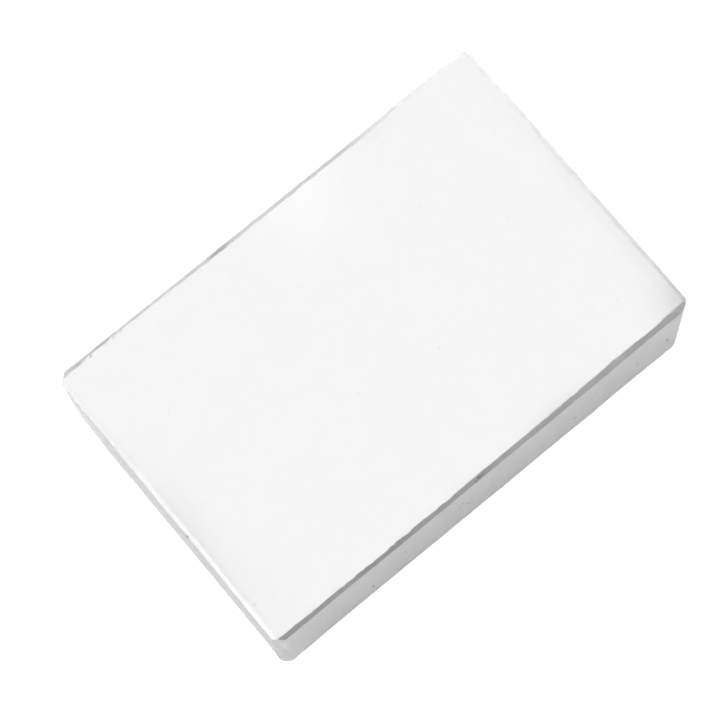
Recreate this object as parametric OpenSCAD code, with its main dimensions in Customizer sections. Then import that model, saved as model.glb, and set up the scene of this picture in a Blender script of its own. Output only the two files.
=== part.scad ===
// Gymnastics chalk block.
// One pressed cake of magnesium carbonate: a rectangular block whose twelve
// edges are cut back by narrow flats, so that they crumble less in the hand.
//
// Units are millimetres, +Z is up. X runs along the length, Y across the
// width, and the origin is the centre of the underside.

/* [Block] */
// Length of the block, along X
block_length = 105; // [70:0.5:150]
// Width of the block, along Y
block_width = 69; // [45:0.5:100]
// Height of the block, along Z
block_height = 31; // [18:0.5:60]

/* [Edges] */
// Width of the chamfer around the upper face, measured in plan
top_chamfer_run = 1; // [0.4:0.1:3]
// Drop of the chamfer around the upper face, measured down the side
top_chamfer_drop = 1.1; // [0.4:0.1:3]
// Width of the chamfer around the underside, measured in plan
base_chamfer_run = 1; // [0.4:0.1:3]
// Rise of the chamfer around the underside, measured up the side
base_chamfer_rise = 1.1; // [0.4:0.1:3]

/* [Corners] */
// Length off each side at an upright corner; over twice a chamfer's run, the flat meets that face
corner_cut = 2.1; // [2.1:0.1:8]

/* [Hidden] */
chalk_white = [0.95, 0.95, 0.945];
// Extra size that takes each cutter clear of the block
clearance = 12;

// Outline of the pressing die: a rectangle with its four corners cut off flat.
module die_outline(length, width, cut) {
    half_length = length / 2;
    half_width = width / 2;
    polygon([
        [-half_length + cut, -half_width], [half_length - cut, -half_width],
        [half_length, -half_width + cut], [half_length, half_width - cut],
        [half_length - cut, half_width], [-half_length + cut, half_width],
        [-half_length, half_width - cut], [-half_length, -half_width + cut]
    ]);
}

// Wedge that cuts one chamfer along a straight edge. The edge lies on the X
// axis, the body is at -Y and -Z from it, and the cut leaves a flat that is
// run wide in Y and drop deep in Z. The flat's slope carries on past the body.
module edge_cutter(length, run, drop) {
    rotate([90, 0, 90])
        linear_extrude(height = length + 2 * clearance, center = true)
            polygon([
                [-run - run * clearance / drop, clearance],
                [clearance, clearance],
                [clearance, -drop - drop * clearance / run]
            ]);
}

// Cutters for the four chamfers around one face, at z = 0 and facing up.
module chamfer_ring(length, width, run, drop) {
    for (turn = [0, 180]) {
        rotate([0, 0, turn])
            translate([0, width / 2, 0])
                edge_cutter(length, run, drop);
        rotate([0, 0, turn + 90])
            translate([0, length / 2, 0])
                edge_cutter(width, run, drop);
    }
}

// The pressed block itself, one solid right through.
module chalk_block() {
    color(chalk_white)
        difference() {
            linear_extrude(height = block_height)
                die_outline(block_length, block_width, corner_cut);
            translate([0, 0, block_height])
                chamfer_ring(block_length, block_width, top_chamfer_run, top_chamfer_drop);
            mirror([0, 0, 1])
                chamfer_ring(block_length, block_width, base_chamfer_run, base_chamfer_rise);
        }
}

chalk_block();
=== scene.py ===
"""Looks of the pressed chalk block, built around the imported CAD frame.

One piece, chalk_cake, stands for the CAD node chalk_block. It is the same block after some use:
the walls wander by a tenth or two of a millimetre about the pressed size, the four upright
corners are each cut a little differently, and chips and pits take material away. Lengths in
the shape code are millimetres in the CAD frame (X length, Y width, Z up, underside at Z 0);
the mesh is written in metres. Front is -Y, back +Y, left -X and right +X."""

import math

import bpy
import numpy as np
from mathutils import Matrix, Vector, kdtree


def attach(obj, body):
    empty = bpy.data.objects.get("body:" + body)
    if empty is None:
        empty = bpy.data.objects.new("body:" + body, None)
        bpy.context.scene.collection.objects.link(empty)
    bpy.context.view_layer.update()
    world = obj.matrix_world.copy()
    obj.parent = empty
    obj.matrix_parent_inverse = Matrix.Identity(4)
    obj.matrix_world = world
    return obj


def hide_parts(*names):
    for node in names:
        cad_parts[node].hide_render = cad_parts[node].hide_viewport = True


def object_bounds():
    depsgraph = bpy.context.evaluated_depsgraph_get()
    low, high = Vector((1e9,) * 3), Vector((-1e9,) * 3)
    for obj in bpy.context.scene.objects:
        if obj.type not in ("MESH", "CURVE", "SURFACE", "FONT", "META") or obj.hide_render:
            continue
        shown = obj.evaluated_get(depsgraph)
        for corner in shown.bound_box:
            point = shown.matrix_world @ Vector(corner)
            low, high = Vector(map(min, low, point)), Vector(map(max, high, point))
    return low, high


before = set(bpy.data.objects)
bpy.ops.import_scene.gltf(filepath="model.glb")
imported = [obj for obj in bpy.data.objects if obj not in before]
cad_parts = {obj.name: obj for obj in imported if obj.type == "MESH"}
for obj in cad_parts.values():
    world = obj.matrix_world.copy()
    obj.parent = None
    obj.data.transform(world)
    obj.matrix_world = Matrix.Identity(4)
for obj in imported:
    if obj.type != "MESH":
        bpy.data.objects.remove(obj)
cad_lo, cad_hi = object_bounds()

MM = 0.001
BOX = np.array(cad_hi) / MM - np.array(cad_lo) / MM
HALF_LENGTH = BOX[0] / 2
HALF_WIDTH = BOX[1] / 2
HEIGHT = BOX[2]

REACH = 3.0  # depth of the inner box that the surface is measured from
FAN = 20  # grid steps in each half of an edge's quarter turn
STEP = 0.24  # grid spacing on the flat faces
CREASE = 0.10  # width over which two faces blend into each other
CORNER_BLEND = 0.30  # the same, between a wall and an upright corner's cut
TRIANGLES = 196_000
SHARP_ANGLE = 24  # degrees
UV_GAP = 1.3  # between faces on the flat map

# ------------------------------------------------------------------ wear tables, in mm

# Each profile is a list of places along an edge or wall, then the value at each place.
# How far each upper chamfer reaches in over the top face.
RUN_FRONT = (
    [-52, -49, -42, -35, -28, -21, -14, -7, 0, 7, 14, 21, 28, 35, 42, 49, 52],
    [1.02, 0.95, 0.905, 0.85, 0.86, 0.91, 0.93, 0.925, 1.015, 1.065, 1.09, 1.1, 1.18, 1.3, 1.06,
     1.53, 1.62],
)
RUN_BACK = (
    [-52, -49, -42, -35, -28, -21, -14, -7, 0, 7, 21, 28, 33, 42, 52],
    [1.40, 1.25, 0.82, 0.88, 0.94, 1.04, 1.18, 1.14, 1.22, 1.14, 1.20, 1.27, 0.96, 0.90, 0.88],
)
RUN_LEFT = (
    [-34, -28, -23, -18, -14, -9, -5, 0, 5, 9, 14, 18, 23, 34],
    [0.89, 0.90, 0.77, 0.77, 0.86, 0.86, 0.92, 0.97, 0.95, 0.92, 0.62, 0.32, 0.20, 0.14],
)
RUN_RIGHT = (
    [-34, -28, -23, -18, -14, -9, 0, 5, 10, 18, 24, 34],
    [1.08, 0.98, 1.07, 1.24, 1.28, 1.20, 1.26, 1.10, 1.12, 1.20, 1.05, 0.95],
)
# How far each wall sits inside the pressed size; the front and left ones only at their top.
IN_FRONT = (
    [-52, -42, -35, -28, -14, -7, 0, 7, 14, 28, 42, 52],
    [0.09, 0.08, 0.12, 0.05, 0.02, 0.01, 0.07, 0.025, 0.0, 0.05, 0.12, 0.07],
)
IN_BACK = (
    [-52, 24, 29, 33, 42, 52],
    [0.12, 0.10, 0.03, -0.12, -0.09, -0.02],
)
IN_LEFT = (
    [-34, -20, -14, -9, 0, 9, 14, 24, 34],
    [-0.20, -0.20, -0.10, -0.06, -0.09, -0.02, -0.08, -0.12, 0.0],
)
IN_RIGHT = (
    [-34, -20, -5, 5, 20, 34],
    [0.17, 0.08, 0.06, -0.02, -0.09, 0.04],
)
# The front and left walls again, at their foot.
FOOT_FRONT = (
    [-52, -42, -28, -21, -14, -7, 7, 21, 28, 35, 42, 52],
    [0.0, 0.12, 0.15, 0.145, 0.10, 0.07, 0.02, 0.03, -0.05, 0.077, 0.0, -0.07],
)
FOOT_LEFT = (
    [-34, -31, -28, -20, 0, 9, 14, 18, 23, 28, 34],
    [-0.32, -0.15, -0.04, 0.0, 0.01, -0.03, 0.03, 0.0, -0.02, 0.16, 0.20],
)
# The cut on each upright corner, by its sides in X and Y:
# what it takes off along X and along Y, and its roundness (1 flat, 2 round).
CORNER = {
    (-1, -1): (2.18, 1.83, 1.14),
    (1, -1): (2.80, 1.61, 1.20),
    (1, 1): (1.52, 1.86, 1.30),
    (-1, 1): (2.02, 2.01, 1.00),
}
# Knocks on the upper edges: centre, radii along X, Y and Z, how dark the painted shade in the
# nick is.
KNOCKS = [
    ((-1.7, -34.25, 30.35), (1.35, 0.62, 0.75), 0.38),  # across the front chamfer
    ((-12.0, 33.62, 30.95), (2.7, 0.32, 0.36), 0.40),  # long scrape on the back chamfer
    ((-44.5, 33.40, 31.0), (0.40, 0.36, 0.32), 0.0),
    ((-46.9, 33.45, 31.0), (0.55, 0.30, 0.30), 0.0),
    ((-40.7, 33.60, 31.0), (0.45, 0.25, 0.30), 0.0),
    ((-38.9, 33.50, 31.0), (0.40, 0.32, 0.30), 0.0),
    ((-36.9, 33.60, 31.0), (0.35, 0.22, 0.28), 0.0),
    ((24.6, 33.30, 31.0), (0.50, 0.25, 0.28), 0.0),
    ((51.8, 4.2, 31.0), (0.20, 0.32, 0.20), 0.0),
    ((-36.8, -34.45, 29.9), (0.50, 0.28, 0.40), 0.0),
    ((31.0, -34.4, 29.9), (0.60, 0.30, 0.42), 0.0),
]
# Pits: centre, radius, how much taller than wide, how dark the painted shade in the hole is.
PITS = [
    ((-52.45, -6.4, 29.55), 0.38, 1.0, 2.9),
    ((-52.5, 20.5, 16.3), 0.38, 0.9, 1.0),
    ((-52.5, 13.4, 24.4), 0.26, 0.9, 1.0),
    ((-52.5, -10.2, 20.0), 0.22, 0.9, 0.8),
    ((-52.5, -20.6, 17.0), 0.24, 0.9, 0.8),
    ((-51.6, -33.55, 5.0), 0.30, 0.9, 0.9),
    ((47.42, -34.5, 12.6), 0.36, 3.0, 0.95),
    ((-29.4, -34.5, 8.6), 0.40, 2.2, 1.3),
    ((-4.8, -34.5, 14.0), 0.31, 2.4, 1.2),
    ((-6.2, -34.5, 19.2), 0.31, 2.4, 1.1),
    ((-6.9, -34.5, 17.0), 0.28, 2.4, 1.1),
    ((-9.5, -34.5, 14.0), 0.25, 2.2, 0.9),
    ((-21.0, -34.5, 17.5), 0.29, 2.4, 1.0),
    ((23.2, -34.5, 11.0), 0.30, 2.4, 1.1),
    ((39.5, -34.5, 13.0), 0.28, 2.4, 1.0),
    ((-51.0, -25.2, 31.0), 0.11, 0.9, 0.6),
    ((50.5, -16.9, 31.0), 0.13, 0.9, 0.8),
]
# Random pits: count, axis the face is square to, face's place on it, least and largest radius.
SCATTER = [
    (4, 2, HEIGHT, 0.07, 0.10),
    (60, 2, 0.0, 0.12, 0.42),
    (16, 1, -HALF_WIDTH, 0.10, 0.22),
    (24, 1, HALF_WIDTH, 0.10, 0.32),
    (12, 0, -HALF_LENGTH, 0.10, 0.25),
    (16, 0, HALF_LENGTH, 0.10, 0.30),
]

# ------------------------------------------------------------------ noise

GRADIENTS = np.random.default_rng(11).normal(size=(256, 3))
GRADIENTS /= np.linalg.norm(GRADIENTS, axis=1)[:, None]


def lattice_hash(ix, iy, iz, seed):
    """A well mixed 32-bit number for each whole-numbered cell."""
    h = (
        ix.astype(np.uint32) * np.uint32(73856093)
        ^ iy.astype(np.uint32) * np.uint32(19349663)
        ^ iz.astype(np.uint32) * np.uint32(83492791)
        ^ np.uint32(seed * 2654435761 & 0xFFFFFFFF)
    )
    h ^= h >> np.uint32(15)
    h *= np.uint32(2246822519)
    h ^= h >> np.uint32(13)
    h *= np.uint32(3266489917)
    h ^= h >> np.uint32(16)
    return h


def perlin(points, size, seed):
    """Gradient noise in about -1..1 with features of the given size in mm."""
    scaled = points / size + 1000.0
    cell = np.floor(scaled)
    f = scaled - cell
    cell = cell.astype(np.int64)
    ease = f * f * f * (f * (f * 6 - 15) + 10)
    total = 0.0
    for dx, dy, dz in np.ndindex(2, 2, 2):
        wx = ease[:, 0] if dx else 1 - ease[:, 0]
        wy = ease[:, 1] if dy else 1 - ease[:, 1]
        wz = ease[:, 2] if dz else 1 - ease[:, 2]
        mixed = lattice_hash(cell[:, 0] + dx, cell[:, 1] + dy, cell[:, 2] + dz, seed)
        g = GRADIENTS[mixed & np.uint32(255)]
        total = total + wx * wy * wz * (
            g[:, 0] * (f[:, 0] - dx) + g[:, 1] * (f[:, 1] - dy) + g[:, 2] * (f[:, 2] - dz)
        )
    return total * 1.6


def layered(points, size, octaves, seed):
    """Perlin noise in octaves, each half the size and half the strength of the last."""
    total, strength, norm = 0.0, 1.0, 0.0
    for k in range(octaves):
        total = total + strength * perlin(points, size / 2**k, seed + 17 * k)
        norm += strength
        strength *= 0.5
    return total / norm


# ------------------------------------------------------------------ the unchipped surface


def profile(at, stops, values):
    """A smooth curve through a few stops, with smoothstep easing between them."""
    stops, values = np.asarray(stops, float), np.asarray(values, float)
    k = np.clip(np.searchsorted(stops, at) - 1, 0, len(stops) - 2)
    t = np.clip((at - stops[k]) / (stops[k + 1] - stops[k]), 0, 1)
    t = t * t * (3 - 2 * t)
    return values[k] * (1 - t) + values[k + 1] * t


def lattice():
    """A closed box-like grid: flat faces, quarter-round edges and round corners.
    Gives each vertex's point on the inner box and outward direction, and the quads."""
    places, turns = [], []  # per axis: place on the inner box, tangent of the outward turn
    for half in (HALF_LENGTH, HALF_WIDTH, HEIGHT / 2):
        inner = half - REACH
        turn = np.tan(np.radians(np.linspace(-45, 0, FAN + 1)[:-1]))
        steps = max(4, int(round(2 * inner / STEP)))
        flat = np.linspace(-inner, inner, steps + 1)
        places.append(np.concatenate([np.full(FAN, -inner), flat, np.full(FAN, inner)]))
        turns.append(np.concatenate([turn, np.zeros(steps + 1), -turn[::-1]]))
    count = [len(line) for line in places]
    quads = []
    for w in range(3):
        u, v = (w + 1) % 3, (w + 2) % 3
        for side in (0, 1):
            iu, iv = np.meshgrid(np.arange(count[u]), np.arange(count[v]), indexing="ij")
            index = [None] * 3
            index[u], index[v] = iu, iv
            index[w] = np.full_like(iu, side * (count[w] - 1))
            key = (index[0] * count[1] + index[1]) * count[2] + index[2]
            ring = [key[:-1, :-1], key[1:, :-1], key[1:, 1:], key[:-1, 1:]]
            face = np.stack(ring, -1).reshape(-1, 4)
            quads.append(face if side else face[:, ::-1])
    quads = np.concatenate(quads)
    unique, inverse = np.unique(quads.ravel(), return_inverse=True)
    quads = inverse.reshape(-1, 4)
    ix, rest = np.divmod(unique, count[1] * count[2])
    iy, iz = np.divmod(rest, count[2])
    grid = (ix, iy, iz)
    origin = np.stack([places[w][i] for w, i in enumerate(grid)], 1)
    turn = np.stack([turns[w][i] for w, i in enumerate(grid)], 1)
    # On a face the normal part of the direction is 1; the 45 degree lines already hold it.
    for w, i in enumerate(grid):
        turn[i == 0, w] = -1
        turn[i == count[w] - 1, w] = 1
    direction = turn / np.linalg.norm(turn, axis=1)[:, None]
    origin[:, 2] += HEIGHT / 2
    return origin, direction, quads


def smooth_max(a, b, width):
    h = np.clip(1 - np.abs(a - b) / width, 0, None)
    return np.maximum(a, b) + h * h * width * 0.25


def smooth_reach(origin, direction, near):
    """How far each vertex lies out from its inner point, before chips and pits."""
    x, y, z = near.T
    up = z > HEIGHT / 2
    right = x > 0
    back = y > 0

    # Slow waves and a fine grain over every face.
    wave = 0.045 * layered(near, 34.0, 2, seed=3) + 0.012 * layered(near, 7.0, 2, seed=5)
    grain = 0.006 * layered(near, 1.1, 2, seed=7)
    wave = wave + 0.035
    ragged = perlin(near, 2.3, seed=21) * 0.6 + perlin(near, 0.9, seed=22) * 0.4
    slow = perlin(near, 13.0, seed=23)

    # The nearest chamfer: its run in over the face and its drop down the wall.
    run_y = np.where(up, np.where(back, profile(x, *RUN_BACK), profile(x, *RUN_FRONT)), 1.0)
    run_x = np.where(up, np.where(right, profile(y, *RUN_RIGHT), profile(y, *RUN_LEFT)), 1.0)
    low = np.where(up, 0.0, 1.0)
    run_y = run_y + 0.22 * ragged + low * 0.16 * slow
    run_x = run_x + 0.11 * ragged + low * 0.16 * slow

    def drop(fine_size, fine_seed, slow_size, slow_seed):
        fine = 0.20 * perlin(near, fine_size, fine_seed)
        return 1.12 - 0.35 * low + fine + (0.06 + 0.12 * low) * perlin(near, slow_size, slow_seed)

    drop_y = drop(2.1, 24, 15.0, 25)
    drop_x = drop(2.2, 26, 17.0, 27)
    scale_y = run_y * drop_y / np.hypot(run_y, drop_y)
    scale_x = run_x * drop_x / np.hypot(run_x, drop_x)

    # Insets of the faces from the pressed size.
    lean = np.clip(z / HEIGHT, 0, 1)
    front = lean * profile(x, *IN_FRONT) + (1 - lean) * profile(x, *FOOT_FRONT)
    inset_y = np.where(back, profile(x, *IN_BACK), front) + grain + 0.4 * wave
    left = lean * profile(y, *IN_LEFT) + (1 - lean) * profile(y, *FOOT_LEFT)
    inset_x = np.where(right, profile(y, *IN_RIGHT), left) + grain + 0.4 * wave
    inset_z = np.where(up, 0.02, 0.03) + 0.5 * grain + wave * 0.8

    cut_x, cut_y, power = (
        np.select(
            [~right & ~back, right & ~back, right & back],
            [CORNER[-1, -1][k], CORNER[1, -1][k], CORNER[1, 1][k]],
            CORNER[-1, 1][k],
        )
        for k in range(3)
    )
    uneven = 1 + 0.05 * perlin(near, 9.0, seed=31) + 0.03 * perlin(near, 2.5, seed=32)
    cut_x, cut_y = cut_x * uneven, cut_y * uneven
    cut_scale = cut_x * cut_y / np.hypot(cut_x, cut_y)

    def solid(p):
        """Below zero inside the block."""
        sx = HALF_LENGTH - np.abs(p[:, 0]) - inset_x
        sy = HALF_WIDTH - np.abs(p[:, 1]) - inset_y
        sz = np.where(up, HEIGHT - p[:, 2], p[:, 2]) - inset_z
        qx, qy = np.maximum(1 - sx / cut_x, 0), np.maximum(1 - sy / cut_y, 0)
        corner = ((qx**power + qy**power) ** (1 / power) - 1) * cut_scale
        plan = smooth_max(np.maximum(-sx, -sy), corner, CORNER_BLEND)
        f = smooth_max(plan, -sz, CREASE)
        f = smooth_max(f, (1 - sx / run_x - sz / drop_x) * scale_x, CREASE)
        return smooth_max(f, (1 - sy / run_y - sz / drop_y) * scale_y, CREASE)

    # Halve the interval that holds the surface.
    nearest, farthest = np.zeros(len(origin)), np.full(len(origin), 7.0)
    for _ in range(20):
        middle = (nearest + farthest) / 2
        inside = solid(origin + middle[:, None] * direction) < 0
        nearest = np.where(inside, middle, nearest)
        farthest = np.where(inside, farthest, middle)
    return (nearest + farthest) / 2


# ------------------------------------------------------------------ chips and pits


class Wear:
    """The surface as material is bitten out of it, with chip marks and painted pit shade per
    vertex.
    """

    def __init__(self, origin, direction, near):
        self.origin, self.direction = origin, direction
        self.base = smooth_reach(origin, direction, near)
        self.start = origin + self.base[:, None] * direction
        self.reach = self.base.copy()
        self.chip = np.zeros(len(origin))
        self.pit_shade = np.zeros(len(origin))
        self.rough = 1 + 0.22 * perlin(near, 0.8, seed=41) + 0.10 * perlin(near, 0.35, seed=42)

    def bite(self, centre, radii, mark, strength=1.0, axes=np.eye(3)):
        """Takes an uneven ellipsoid out of the surface."""
        centre = np.array(centre, float)
        big = float(max(radii)) * 1.5
        pick = np.nonzero((np.abs(self.start - centre) < big).all(1))[0]
        if not len(pick):
            return
        base, rough = self.base[pick], self.rough[pick, None]
        # Where each vertex's ray crosses the ellipsoid, as roots of a quadratic.
        to_ball = np.asarray(axes, float) / np.asarray(radii, float)[:, None]
        o = (self.origin[pick] - centre) @ to_ball.T * rough
        d = self.direction[pick] @ to_ball.T * rough
        qa, qb, qc = (d * d).sum(1), (o * d).sum(1), (o * o).sum(1) - 1
        disc = qb * qb - qa * qc
        hit = disc > 0
        root = np.sqrt(np.where(hit, disc, 0))
        enter, leave = (-qb - root) / qa, (-qb + root) / qa
        hit &= (enter > 0.4) & (enter < base) & (leave > base - 0.25)
        where = pick[hit]
        cut = np.minimum(self.reach[where], enter[hit])
        self.reach[where] = cut
        depth = self.base[where] - cut
        mark[where] = np.maximum(mark[where], np.clip(depth / 0.12, 0, 1) * strength)


def placed_marks(wear):
    for centre, radii, nick_shade in KNOCKS:
        wear.bite(centre, radii, wear.chip)
        # A knock with a nick shade also paints shade into the pit mark.
        if nick_shade:
            wear.bite(centre, radii, wear.pit_shade, nick_shade)
    for centre, radius, tall, hole_shade in PITS:
        wear.bite(centre, (radius, radius, radius * tall), wear.pit_shade, hole_shade)


def block_edges():
    """The twelve edges: start, axis, length, kind, inward signs, chips per mm."""
    a, b = HALF_LENGTH, HALF_WIDTH
    kinds = (("foot", 0), ("top", 1))
    edges = []
    for sy in (-1, 1):
        for kind, top in kinds:
            start, inward = (-a, sy * b, top * HEIGHT), (0, -sy, 1 - 2 * top)
            edges.append((start, 0, 2 * a, kind, inward, 0.26 if top else 0.42))
    for sx in (-1, 1):
        for kind, top in kinds:
            start, inward = (sx * a, -b, top * HEIGHT), (-sx, 0, 1 - 2 * top)
            edges.append((start, 1, 2 * b, kind, inward, 0.10 if top else 0.42))
    for sx in (-1, 1):
        for sy in (-1, 1):
            start, inward = (sx * a, sy * b, 0.0), (-sx, -sy, 0)
            edges.append((start, 2, HEIGHT, "upright", inward, 0.12 if sy < 0 else 0.30))
    return edges


def edge_chips(wear, rng):
    """Small random chips along all twelve edges, most on the underside's."""
    for start, axis, length, kind, inward, per_mm in block_edges():
        inward = np.array(inward, float)
        parts = np.nonzero(inward)[0]
        largest = 0.24 if kind == "top" else 0.75
        for _ in range(int(length * per_mm)):
            centre = np.array(start, float)
            centre[axis] += rng.uniform(0.02, 0.98) * length
            inset = rng.choice([0.05, 1.0], p=[0.4, 0.6])
            size = float(np.clip(rng.lognormal(-1.75, 0.5), 0.09, largest))
            # An upper edge takes its inset downwards only.
            which = 1 if kind == "top" else rng.integers(2)
            if kind == "upright":
                cut = CORNER[-int(inward[0]), -int(inward[1])]
                share = rng.uniform(0.1, 0.9)
                centre += inward * np.array([cut[0] * share, cut[1] * (1 - share), 0.0])
            else:
                # a crease of the chamfer: one part in by the chamfer's run, the other hardly
                centre[parts[which]] += inward[parts[which]] * inset
                centre[parts[1 - which]] += inward[parts[1 - which]] * 0.05
            radii = np.array([size, size, size])
            radii[axis] *= rng.uniform(1.0, 2.6)
            wear.bite(centre + rng.normal(0, 0.05, 3), radii, wear.chip, 0.8)


def scattered_pits(wear, rng):
    """Few on the pressed top, more on the walls and the underside."""
    span_x, span_y = HALF_LENGTH - 3, HALF_WIDTH - 3
    spans = ((-span_x, span_x), (-span_y, span_y), (2, HEIGHT - 3))
    for count, axis, place, small, large in SCATTER:
        for _ in range(count):
            centre = [place if k == axis else rng.uniform(*spans[k]) for k in range(3)]
            r = float(np.clip(rng.lognormal(-1.55, 0.35), small, large))
            turned, _ = np.linalg.qr(rng.normal(size=(3, 3)))
            radii = (r, r * rng.uniform(0.7, 1.0), r * rng.uniform(0.6, 0.9))
            wear.bite(centre, radii, wear.pit_shade, axes=turned)


def worn_block():
    origin, direction, quads = lattice()
    near = origin + REACH * direction  # close to the surface: where the wear is looked up
    wear = Wear(origin, direction, near)
    placed_marks(wear)
    rng = np.random.default_rng(2024)
    edge_chips(wear, rng)
    scattered_pits(wear, rng)
    crumble = wear.chip * 0.035 * layered(near, 0.55, 2, seed=51)
    reach = wear.reach - np.abs(crumble)
    return origin + reach[:, None] * direction, quads, wear.chip, wear.pit_shade


# ------------------------------------------------------------------ mesh


def build(points, quads):
    mesh = bpy.data.meshes.new("chalk_cake")
    mesh.vertices.add(len(points))
    mesh.vertices.foreach_set("co", (points * MM).astype(np.float32).ravel())
    mesh.loops.add(quads.size)
    mesh.loops.foreach_set("vertex_index", quads.astype(np.int32).ravel())
    mesh.polygons.add(len(quads))
    mesh.polygons.foreach_set("loop_start", np.arange(0, quads.size, 4, dtype=np.int32))
    mesh.update(calc_edges=True)
    mesh.validate()
    return mesh


def thinned(mesh):
    """The same surface in fewer triangles, small where it is rough and large where plain."""
    holder = bpy.data.objects.new("dense", mesh)
    bpy.context.scene.collection.objects.link(holder)
    thin = holder.modifiers.new("thin", "DECIMATE")
    thin.ratio = min(1.0, TRIANGLES / (2 * len(mesh.polygons)))
    thin.use_collapse_triangulate = True
    depsgraph = bpy.context.evaluated_depsgraph_get()
    out = bpy.data.meshes.new_from_object(holder.evaluated_get(depsgraph), depsgraph=depsgraph)
    bpy.data.objects.remove(holder)
    bpy.data.meshes.remove(mesh)
    return out


def vertices_mm(mesh):
    co = np.empty(len(mesh.vertices) * 3, np.float32)
    mesh.vertices.foreach_get("co", co)
    return co.reshape(-1, 3) / MM


def carry(mesh, points, marks):
    """Writes the chip marks and the painted pit shade from the dense points onto the thinned
    mesh.
    """
    vertices = vertices_mm(mesh)
    for name, values in marks.items():
        chosen = np.nonzero(values > 0.02)[0]
        out = np.zeros(len(vertices), np.float32)
        if len(chosen):
            tree = kdtree.KDTree(len(chosen))
            for k, i in enumerate(chosen):
                tree.insert(points[i], k)
            tree.balance()
            for i, vertex in enumerate(vertices):
                _, k, distance = tree.find(vertex)
                if distance < 0.22:
                    out[i] = values[chosen[k]]
        mesh.attributes.new(name, "FLOAT", "POINT").data.foreach_set("value", out)


def lay_out(mesh):
    """A flat map of the six faces, packed into one square with gaps."""
    length, width = 2 * HALF_LENGTH, 2 * HALF_WIDTH
    loops = np.empty(len(mesh.loops), np.int32)
    mesh.loops.foreach_get("vertex_index", loops)
    corners = vertices_mm(mesh)[loops.reshape(-1, 3)]  # triangles, corners, xyz
    c = corners.mean(1)
    middle = HEIGHT / 2
    outside = [
        np.abs(c[:, 0]) - HALF_LENGTH,
        np.abs(c[:, 1]) - HALF_WIDTH,
        np.abs(c[:, 2] - middle) - middle,
    ]
    axis = np.stack(outside, 1).argmax(1)
    centred = np.stack([c[:, 0], c[:, 1], c[:, 2] - middle], 1)
    positive = centred[np.arange(len(c)), axis] > 0
    x, y, z = corners[..., 0] + HALF_LENGTH, corners[..., 1] + HALF_WIDTH, corners[..., 2]
    column, row = UV_GAP + length + UV_GAP, UV_GAP  # where the second column starts
    spots = {
        (2, True): (x + UV_GAP, y + UV_GAP),
        (2, False): (x + UV_GAP, (width - y) + UV_GAP * 2 + width),
        (1, False): (x + UV_GAP, z + UV_GAP * 3 + 2 * width),
        (1, True): (z + column, (length - x) + row),
        (0, False): (z + column + HEIGHT + UV_GAP, (width - y) + row),
        (0, True): (y + column, z + row + length + UV_GAP),
    }
    uv = np.zeros(corners.shape[:2] + (2,))
    for (face_axis, side), (u, v) in spots.items():
        rows = (axis == face_axis) & (positive == side)
        uv[rows, :, 0] = u[rows]
        uv[rows, :, 1] = v[rows]
    uv = (uv / (length + width + 3 * UV_GAP)).reshape(-1, 2)
    layer = mesh.uv_layers.new(name="OFBake")
    layer.data.foreach_set("uv", uv.astype(np.float32).ravel())


# ------------------------------------------------------------------ shader nodes


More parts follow.
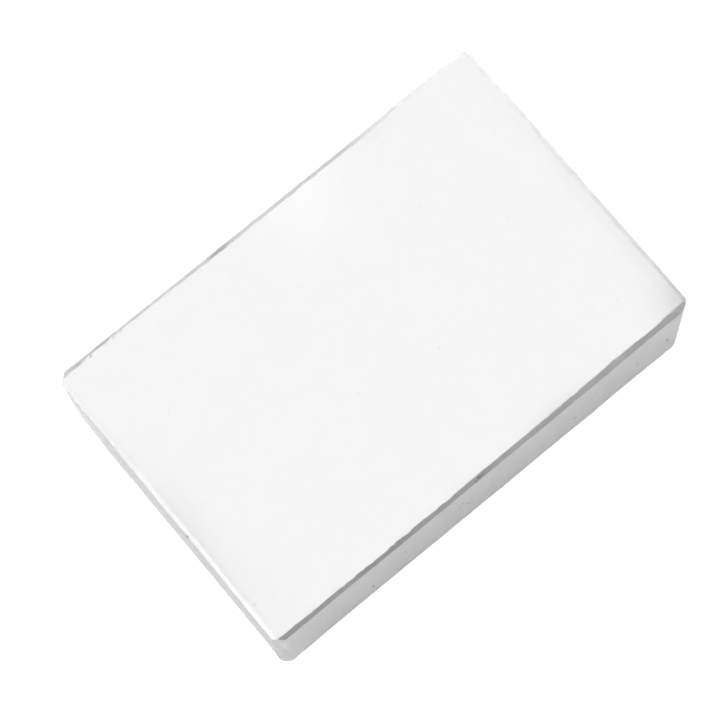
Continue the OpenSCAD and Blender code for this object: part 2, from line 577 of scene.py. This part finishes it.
class Nodes:
    """A material's node tree, with short calls for the nodes used here."""

    def __init__(self, name):
        self.mat = bpy.data.materials.new(name)
        self.mat.use_nodes = True
        self.tree = self.mat.node_tree
        self.tree.nodes.clear()

    def node(self, kind, **settings):
        n = self.tree.nodes.new(kind)
        for k, v in settings.items():
            setattr(n, k, v)
        return n

    def put(self, socket, value):
        if isinstance(value, bpy.types.NodeSocket):
            self.tree.links.new(value, socket)
        else:
            socket.default_value = value

    def finish(self, shader):
        self.put(self.node("ShaderNodeOutputMaterial").inputs["Surface"], shader)
        return self.mat

    def math(self, op, a, b=0.0, c=0.0, clamp=False):
        n = self.node("ShaderNodeMath", operation=op, use_clamp=clamp)
        for s, v in zip(n.inputs, (a, b, c)):
            self.put(s, v)
        return n.outputs[0]

    def plus(self, a, b):
        return self.math("ADD", a, b)

    def minus(self, a, b):
        return self.math("SUBTRACT", a, b)

    def times(self, a, b):
        return self.math("MULTIPLY", a, b)

    def times_plus(self, a, b, c):
        return self.math("MULTIPLY_ADD", a, b, c)

    def vary(self, value, noise, amount):
        """The value moved up and down by noise."""
        return self.times_plus(self.minus(noise, 0.5), amount, value)

    def darken(self, value, mark, amount):
        return self.times(value, self.times_plus(mark, -amount, 1.0))

    def vector_math(self, op, vector, socket, value):
        n = self.node("ShaderNodeVectorMath", operation=op)
        self.put(n.inputs[0], vector)
        self.put(n.inputs[socket], value)
        return n.outputs[0]

    def split(self, kind, value):
        n = self.node(kind)
        self.put(n.inputs[0], value)
        return n.outputs

    def noise(self, vector, scale, detail, rough):
        n = self.node("ShaderNodeTexNoise", noise_dimensions="3D")
        self.put(n.inputs["Vector"], vector)
        self.put(n.inputs["Scale"], scale)
        self.put(n.inputs["Detail"], detail)
        self.put(n.inputs["Roughness"], rough)
        return n.outputs["Fac"]

    def remap(self, value, from_range, to_range, smooth=False):
        n = self.node("ShaderNodeMapRange", clamp=True)
        n.interpolation_type = "SMOOTHSTEP" if smooth else "LINEAR"
        for s, v in zip(n.inputs, (value, *from_range, *to_range)):
            self.put(s, v)
        return n.outputs[0]

    def rise(self, value, low, high, smooth=False):
        """0 below low, 1 above high."""
        return self.remap(value, (low, high), (0.0, 1.0), smooth)

    def fall(self, value, low, high, smooth=False):
        """1 below low, 0 above high."""
        return self.remap(value, (low, high), (1.0, 0.0), smooth)

    def curve(self, position, stops):
        """An eased curve through (position, value) stops, given in rising order."""
        lift = 0.2  # keeps the values positive inside the ramp
        low, high = stops[0][0], stops[-1][0]
        n = self.node("ShaderNodeValToRGB")
        n.color_ramp.interpolation = "EASE"
        self.put(n.inputs[0], self.rise(position, low, high))
        elements = n.color_ramp.elements
        while len(elements) < len(stops):
            elements.new(0.5)
        for e, (at, v) in zip(elements, stops):
            e.position = (at - low) / (high - low)
            e.color = (v + lift, v + lift, v + lift, 1)
        return self.minus(n.outputs[0], lift)

    def patch(self, x, y, at_x, at_y, wide, deep, amount):
        """A soft round-edged patch on a face: its full amount at its centre, fading out."""
        u = self.times(self.minus(x, at_x), 1 / wide)
        v = self.times(self.minus(y, at_y), 1 / deep)
        r = self.times_plus(u, u, self.times(v, v))
        return self.times(self.math("EXPONENT", self.times(r, -1.0)), amount)


# ------------------------------------------------------------------ chalk

# Painted shade along each upper chamfer: position in mm, share taken off (below zero is painted
# light).
CHAMFER_SHADE_FRONT = [
    (-52, 0.245), (-46, 0.233), (-42, 0.218), (-35, 0.214), (-30, 0.25), (-26, 0.247),
    (-22, 0.252), (-17, 0.217), (-10, 0.204), (-6, 0.194), (0, 0.212), (3, 0.203), (7, 0.18),
    (10, 0.174), (14, 0.20), (18, 0.206), (22, 0.181), (26, 0.172), (30, 0.209), (34, 0.189),
    (44, 0.196), (52, 0.188),
]
CHAMFER_SHADE_BACK = [
    (-52, 0.16), (-50, 0.18), (-48, 0.20), (-46, 0.185), (-44, 0.175), (-42, 0.25), (-38, 0.16),
    (-35, 0.125), (-32, 0.155), (-28, 0.13), (-21, 0.12), (-19, 0.165), (-17, 0.14),
    (-15.5, 0.12), (-14.2, 0.20), (-12, 0.27), (-10.4, 0.235), (-8.6, 0.15), (0, 0.13),
    (7, 0.145), (12, 0.135), (18, 0.155), (21, 0.14), (24, 0.085), (28, 0.06), (32, 0.03),
    (35, 0.01), (39, -0.012), (44, -0.016), (52, -0.03),
]
CHAMFER_SHADE_RIGHT = [
    (-34, 0.16), (-31, 0.14), (-28, 0.10), (-23, 0.08), (-14, 0.057), (0, 0.027), (6, 0.0),
    (12, 0.026), (18, 0.010), (24, -0.024), (29, -0.028), (34, -0.020),
]
CHAMFER_SHADE_LEFT = [
    (-34, -0.015), (-27, 0.0), (-20, 0.018), (-10, 0.026), (0, 0.026), (10, 0.024),
    (19, 0.044), (34, 0.046),
]
# Painted shade along the front and left walls, as for the chamfers (below zero is painted light).
WALL_SHADE_FRONT = [(-52, -0.01), (-46, 0.022), (-40, 0.030), (38, 0.030), (44, 0.015), (52, 0.0)]
WALL_SHADE_LEFT = [
    (-34, 0.057), (-28, 0.052), (-20, 0.037), (-10, 0.048), (0, 0.043), (8, 0.03),
    (14, 0.033), (19, 0.028), (34, -0.050),
]
# Patches on the front left upright corner: x, z, half width, half height, share added.
CORNER_PATCHES = [
    (-51.45, 14.0, 0.50, 3.5, -0.060),
    (-50.85, 8.0, 0.40, 2.6, -0.050),
    (-52.1, 20.5, 0.35, 2.2, -0.045),
    (-50.9, 23.0, 0.5, 3.0, 0.02),
]
# Painted light and shade on the top face: x, y, half width, half depth, share added (below zero
# is painted shade).
TOP_LIGHT_PATCHES = [
    (-51.5, -6.0, 4.4, 14.0, -0.033),
    (-51.8, -10.0, 0.8, 20.0, -0.034),
    (-48.5, -28.0, 5.0, 8.0, -0.010),
    (52.5, -34.0, 6.0, 6.0, -0.12),
    (52.5, -6.0, 2.6, 26.0, -0.034),
    (52.5, -23.0, 4.0, 8.5, -0.022),
    (7.0, 32.0, 7.5, 9.0, 0.025),
    (27.0, 33.0, 5.0, 2.5, -0.012),
    (19.0, -34.0, 8.0, 2.6, -0.035),
]
CHALK_VALUE = 0.9125  # grey level of the plain chalk
# Painted light across the top face: its brightness at the middle, and its change per mm along X
# and along Y.
TOP_MIDDLE, TOP_TILT_X, TOP_TILT_Y = 0.9768, 0.00011, -0.00014


class Chalk(Nodes):
    def __init__(self):
        super().__init__("pressed_chalk")
        where = self.node("ShaderNodeTexCoord").outputs["Object"]
        self.mm = self.vector_math("SCALE", where, "Scale", 1000.0)
        self.x, self.y, self.z = self.split("ShaderNodeSeparateXYZ", self.mm)
        normal = self.node("ShaderNodeNewGeometry").outputs["Normal"]
        self.nx, self.ny, self.nz = self.split("ShaderNodeSeparateXYZ", normal)
        level = self.rise(self.math("ABSOLUTE", self.nz), low=0.80, high=0.97)
        self.wall = self.minus(1.0, level)  # 0 on the top and underside, 1 on walls
        self.chip = self.node("ShaderNodeAttribute", attribute_name="chip").outputs["Fac"]
        self.pit_shade = self.node("ShaderNodeAttribute", attribute_name="pit_shade").outputs["Fac"]

    def on_walls(self, flat, extra):
        """One amount on the top and underside, with an extra on the walls."""
        return self.times_plus(self.wall, extra, flat)

    def powder(self):
        """An even white with soft clouds, a fine powder mottle, and streaks where the
        walls slid out of the die."""
        clouds = self.noise(self.mm, scale=0.045, detail=3.0, rough=0.5)
        self.mottle = self.noise(self.mm, scale=0.42, detail=4.0, rough=0.62)
        powder = self.noise(self.mm, scale=3.6, detail=3.0, rough=0.65)
        drawn_up = self.vector_math("MULTIPLY", self.mm, 1, (1.0, 1.0, 0.10))
        self.streaks = self.noise(drawn_up, scale=0.9, detail=3.0, rough=0.6)
        value = self.vary(CHALK_VALUE, clouds, amount=0.008)
        value = self.vary(value, self.mottle, amount=self.on_walls(flat=0.006, extra=0.040))
        value = self.vary(value, powder, amount=self.on_walls(flat=0.010, extra=0.024))
        streaked = self.times(self.minus(self.streaks, 0.5), self.wall)
        streak_amount = 0.024
        return self.times_plus(streaked, streak_amount, value)

    def specks(self, value):
        """Sparse grey specks, a tenth or two of a millimetre across."""
        cells = self.node("ShaderNodeTexVoronoi", feature="F1", voronoi_dimensions="3D")
        self.put(cells.inputs["Vector"], self.mm)
        self.put(cells.inputs["Scale"], 0.33)
        self.put(cells.inputs["Randomness"], 1.0)
        pick = self.split("ShaderNodeSeparateColor", cells.outputs["Color"])
        size = self.remap(pick[1], from_range=(0.0, 1.0), to_range=(0.03, 0.075))
        speck = self.math("LESS_THAN", cells.outputs["Distance"], size)
        bare_share = 0.72  # of the cells hold no speck
        speck = self.times(speck, self.math("GREATER_THAN", pick[0], bare_share))
        speck = self.times(speck, self.on_walls(flat=0.05, extra=0.16))
        return self.times(value, self.minus(1.0, speck))

    def chamfer_painted_shade(self, value):
        """Painted shade on the upper chamfers, uneven along each edge; painted light where the
        share is below zero.
        """
        slope = self.times(
            self.rise(self.nz, low=0.30, high=0.44, smooth=True),
            self.fall(self.nz, low=0.86, high=0.95, smooth=True),
        )
        facing = {"low": 0.36, "high": 0.52}  # normal's part towards the side
        facing_away = {"low": -0.52, "high": -0.36}
        front = self.times(self.fall(self.ny, **facing_away), self.curve(self.x, CHAMFER_SHADE_FRONT))
        back = self.times(self.rise(self.ny, **facing), self.curve(self.x, CHAMFER_SHADE_BACK))
        right = self.times(self.rise(self.nx, **facing), self.curve(self.y, CHAMFER_SHADE_RIGHT))
        left = self.times(self.fall(self.nx, **facing_away), self.curve(self.y, CHAMFER_SHADE_LEFT))
        chamfer_shade = self.times(slope, self.plus(self.plus(front, back), self.plus(right, left)))
        return self.times(value, self.minus(1.0, chamfer_shade))

    def wall_shade_and_corner_patches(self, value):
        """Painted shade on the front and left walls, and darker and lighter patches down the
        corner between them.
        """
        upright = self.fall(self.math("ABSOLUTE", self.nz), low=0.25, high=0.40, smooth=True)
        facing_front = self.fall(self.ny, low=-0.85, high=-0.55)
        front = self.times(facing_front, self.curve(self.x, WALL_SHADE_FRONT))
        facing_left = self.fall(self.nx, low=-0.95, high=-0.75)
        left = self.times(facing_left, self.curve(self.y, WALL_SHADE_LEFT))
        wall_shade = self.times(upright, self.plus(front, left))
        value = self.times(value, self.minus(1.0, wall_shade))
        diagonal = self.fall(self.plus(self.nx, self.ny), low=-1.33, high=-1.20)
        corner = self.times(upright, diagonal)
        for row in CORNER_PATCHES:
            corner_patch = self.patch(self.x, self.z, *row)
            value = self.times(value, self.times_plus(corner_patch, corner, 1.0))
        return value

    def top_painted_light(self, value):
        # Painted light and shade on the top face: a slow gradient across it and soft patches.
        across = self.times_plus(self.y, TOP_TILT_Y, TOP_MIDDLE)
        top_light = self.times_plus(self.x, TOP_TILT_X, across)
        for row in TOP_LIGHT_PATCHES:
            top_light = self.plus(top_light, self.patch(self.x, self.y, *row))
        top = self.rise(self.nz, low=0.90, high=0.97, smooth=True)
        return self.times(value, self.times_plus(self.minus(top_light, 1.0), top, 1.0))

    def lower_chamfer_shade(self, value):
        # Painted shade: the lower chamfers, facing down towards the floor, are darkened.
        under = self.times(
            self.fall(self.nz, low=-0.44, high=-0.30), self.rise(self.nz, low=-0.95, high=-0.86)
        )
        return self.darken(value, under, amount=0.07)

    def bump(self):
        """Powder grain everywhere, softer on the pressed faces, coarse grain in chips."""
        grain = self.noise(self.mm, scale=5.2, detail=3.0, rough=0.6)
        coarse = self.noise(self.mm, scale=1.7, detail=4.0, rough=0.65)
        chip_height, streak_height = 1.6, 0.5
        height = self.times(grain, self.on_walls(flat=0.35, extra=0.45))
        height = self.times_plus(coarse, self.on_walls(flat=0.25, extra=0.7), height)
        height = self.times_plus(self.times(coarse, self.chip), chip_height, height)
        height = self.times_plus(self.times(self.streaks, self.wall), streak_height, height)
        bump = self.node("ShaderNodeBump")
        self.put(bump.inputs["Strength"], 0.55)
        self.put(bump.inputs["Distance"], 0.00006)
        self.put(bump.inputs["Height"], height)
        return bump.outputs[0]


def chalk_material():
    m = Chalk()
    value = m.specks(m.powder())
    # Painted shade in pits and in the knocks' nicks; a chip shows coarser, slightly duller chalk.
    value = m.darken(value, m.pit_shade, amount=0.30)
    value = m.darken(value, m.chip, amount=0.05)
    # Painted shade on the upper chamfers.
    value = m.chamfer_painted_shade(value)
    # Painted shade on the front and left walls, and patches down their corner.
    value = m.wall_shade_and_corner_patches(value)
    # Painted light and shade on the top face.
    value = m.top_painted_light(value)
    # Painted shade on the lower chamfers.
    value = m.lower_chamfer_shade(value)
    colour = m.node("ShaderNodeCombineColor")
    for k in range(3):
        m.put(colour.inputs[k], value)

    plain_rough, chip_rough = 0.93, 0.05  # plain chalk, and what a chip adds
    rough = m.vary(plain_rough, m.mottle, amount=0.10)
    rough = m.math("MULTIPLY_ADD", m.chip, chip_rough, rough, clamp=True)
    normal = m.bump()

    shader = m.node("ShaderNodeBsdfPrincipled")
    m.put(shader.inputs["Base Color"], colour.outputs[0])
    m.put(shader.inputs["Roughness"], rough)
    m.put(shader.inputs["Specular IOR Level"], 0.18)
    m.put(shader.inputs["Diffuse Roughness"], m.times(m.wall, 0.6))
    m.put(shader.inputs["Normal"], normal)
    return m.finish(shader.outputs[0])


def make_cake():
    points, quads, chip, pit_shade = worn_block()
    mesh = thinned(build(points, quads))
    carry(mesh, points, {"chip": chip, "pit_shade": pit_shade})
    lay_out(mesh)
    mesh.materials.append(chalk_material())
    mesh.polygons.foreach_set("use_smooth", np.ones(len(mesh.polygons), bool))
    mesh.set_sharp_from_angle(angle=math.radians(SHARP_ANGLE))
    cake = bpy.data.objects.new("chalk_cake", mesh)
    bpy.context.scene.collection.objects.link(cake)
    weighted = cake.modifiers.new("even_normals", "WEIGHTED_NORMAL")
    weighted.keep_sharp = True
    return cake


cake = make_cake()
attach(cake, "root")
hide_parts("chalk_block")

# ------------------------------------------------------------------ stage, in metres

FLOOR_HALF = 9
FLOOR_DROP = 0.00005  # keeps the floor just clear of the underside
WHITE = (1, 1, 1, 1)
PAPER = (0.86, 0.86, 0.86, 1)


def floor_material():
    """Pale paper. Seen directly it glows, so that it stays near white with a faint shadow."""
    m = Nodes("pale_paper")
    paper = m.node("ShaderNodeBsdfDiffuse")
    m.put(paper.inputs["Color"], PAPER)
    glow = m.node("ShaderNodeEmission")
    m.put(glow.inputs["Color"], WHITE)
    m.put(glow.inputs["Strength"], 1.15)
    seen = m.node("ShaderNodeLightPath").outputs["Is Camera Ray"]
    mix = m.node("ShaderNodeMixShader")
    glow_share = 0.80
    m.put(mix.inputs[0], m.times(seen, glow_share))
    m.put(mix.inputs[1], paper.outputs[0])
    m.put(mix.inputs[2], glow.outputs[0])
    return m.finish(mix.outputs[0])


def make_floor():
    mesh = bpy.data.meshes.new("floor")
    signs = ((-1, -1), (1, -1), (1, 1), (-1, 1))
    corners = [(sx * FLOOR_HALF, sy * FLOOR_HALF, 0) for sx, sy in signs]
    mesh.from_pydata(corners, [], [(0, 1, 2, 3)])
    mesh.materials.append(floor_material())
    floor = bpy.data.objects.new("floor", mesh)
    floor.location = (0, 0, -FLOOR_DROP)
    bpy.context.scene.collection.objects.link(floor)
    return floor


def make_world():
    """White where the camera sees it, and no light of its own."""
    world = bpy.data.worlds.new("studio")
    world.use_nodes = True
    nodes, links = world.node_tree.nodes, world.node_tree.links
    nodes.clear()

    def background(strength):
        n = nodes.new("ShaderNodeBackground")
        n.inputs["Color"].default_value = WHITE
        n.inputs["Strength"].default_value = strength
        return n.outputs[0]

    unlit = background(strength=0.0)
    white = background(strength=1.1)
    path = nodes.new("ShaderNodeLightPath")
    mix = nodes.new("ShaderNodeMixShader")
    out = nodes.new("ShaderNodeOutputWorld")
    links.new(path.outputs["Is Camera Ray"], mix.inputs[0])
    links.new(unlit, mix.inputs[1])
    links.new(white, mix.inputs[2])
    links.new(mix.outputs[0], out.inputs["Surface"])
    bpy.context.scene.world = world


# Soft boxes: name, azimuth the light comes from, elevation (degrees), watts.
# Azimuth 0 is from the front (-Y), 90 from the right (+X), 180 the back, 270 the left.
LIGHTS = [
    ("front_high", 0, 60, 11.08),
    ("back", 180, 45, 8.92),
    ("back_high", 180, 65, 3.44),
    ("back_left", 225, 45, 7.44),
    ("back_right", 135, 55, 1.04),
    ("left_low", 270, 10, 8.92),
    ("right_low", 90, 12, 5.24),
    ("right_mid", 90, 30, 0.56),
    ("front_right_low", 45, 12, 4.68),
    ("front_mid", 0, 30, 1.32),
]
LIGHT_DISTANCE = 1.60
LIGHT_SIDE = 0.90


def soft_box(name, azimuth, elevation, watts):
    az, el = math.radians(azimuth), math.radians(elevation)
    out = Vector((math.sin(az) * math.cos(el), -math.cos(az) * math.cos(el), math.sin(el)))
    data = bpy.data.lights.new(name, "AREA")
    data.shape = "SQUARE"
    data.size = LIGHT_SIDE
    data.energy = watts
    box = bpy.data.objects.new(name, data)
    box.location = out * LIGHT_DISTANCE
    box.rotation_mode = "QUATERNION"
    box.rotation_quaternion = out.to_track_quat("Z", "Y")
    box.visible_camera = False
    bpy.context.scene.collection.objects.link(box)


make_floor()
make_world()
for row in LIGHTS:
    soft_box(*row)

# ------------------------------------------------------------------ camera and tone

CAMERA_PLACE = (-77.96 * MM, -117.34 * MM, 626.44 * MM)
CAMERA_RIGHT = Vector((0.76925, -0.63826, -0.02968))
CAMERA_UP = Vector((0.62759, 0.74605, 0.22258))
CAMERA_FORWARD = Vector((0.11992, 0.18985, -0.97446))
LENS = 156.62  # mm
GAMMA = 0.5  # below 1: a good deal more contrast than a plain exposure
FILTER_WIDTH = 1.8  # a little soft


def make_camera():
    data = bpy.data.cameras.new("camera")
    data.sensor_fit = "HORIZONTAL"
    data.sensor_width = 36.0
    data.lens = LENS
    data.clip_start, data.clip_end = 0.02, 30.0
    camera = bpy.data.objects.new("camera", data)
    turn = Matrix((CAMERA_RIGHT, CAMERA_UP, -CAMERA_FORWARD)).transposed()
    pose = turn.to_4x4()
    pose.translation = CAMERA_PLACE
    camera.matrix_world = pose
    bpy.context.scene.collection.objects.link(camera)
    bpy.context.scene.camera = camera


make_camera()
view = bpy.context.scene.view_settings
view.view_transform = "Standard"
view.look = "None"
view.exposure = 0.0
view.gamma = GAMMA
bpy.context.scene.cycles.filter_width = FILTER_WIDTH
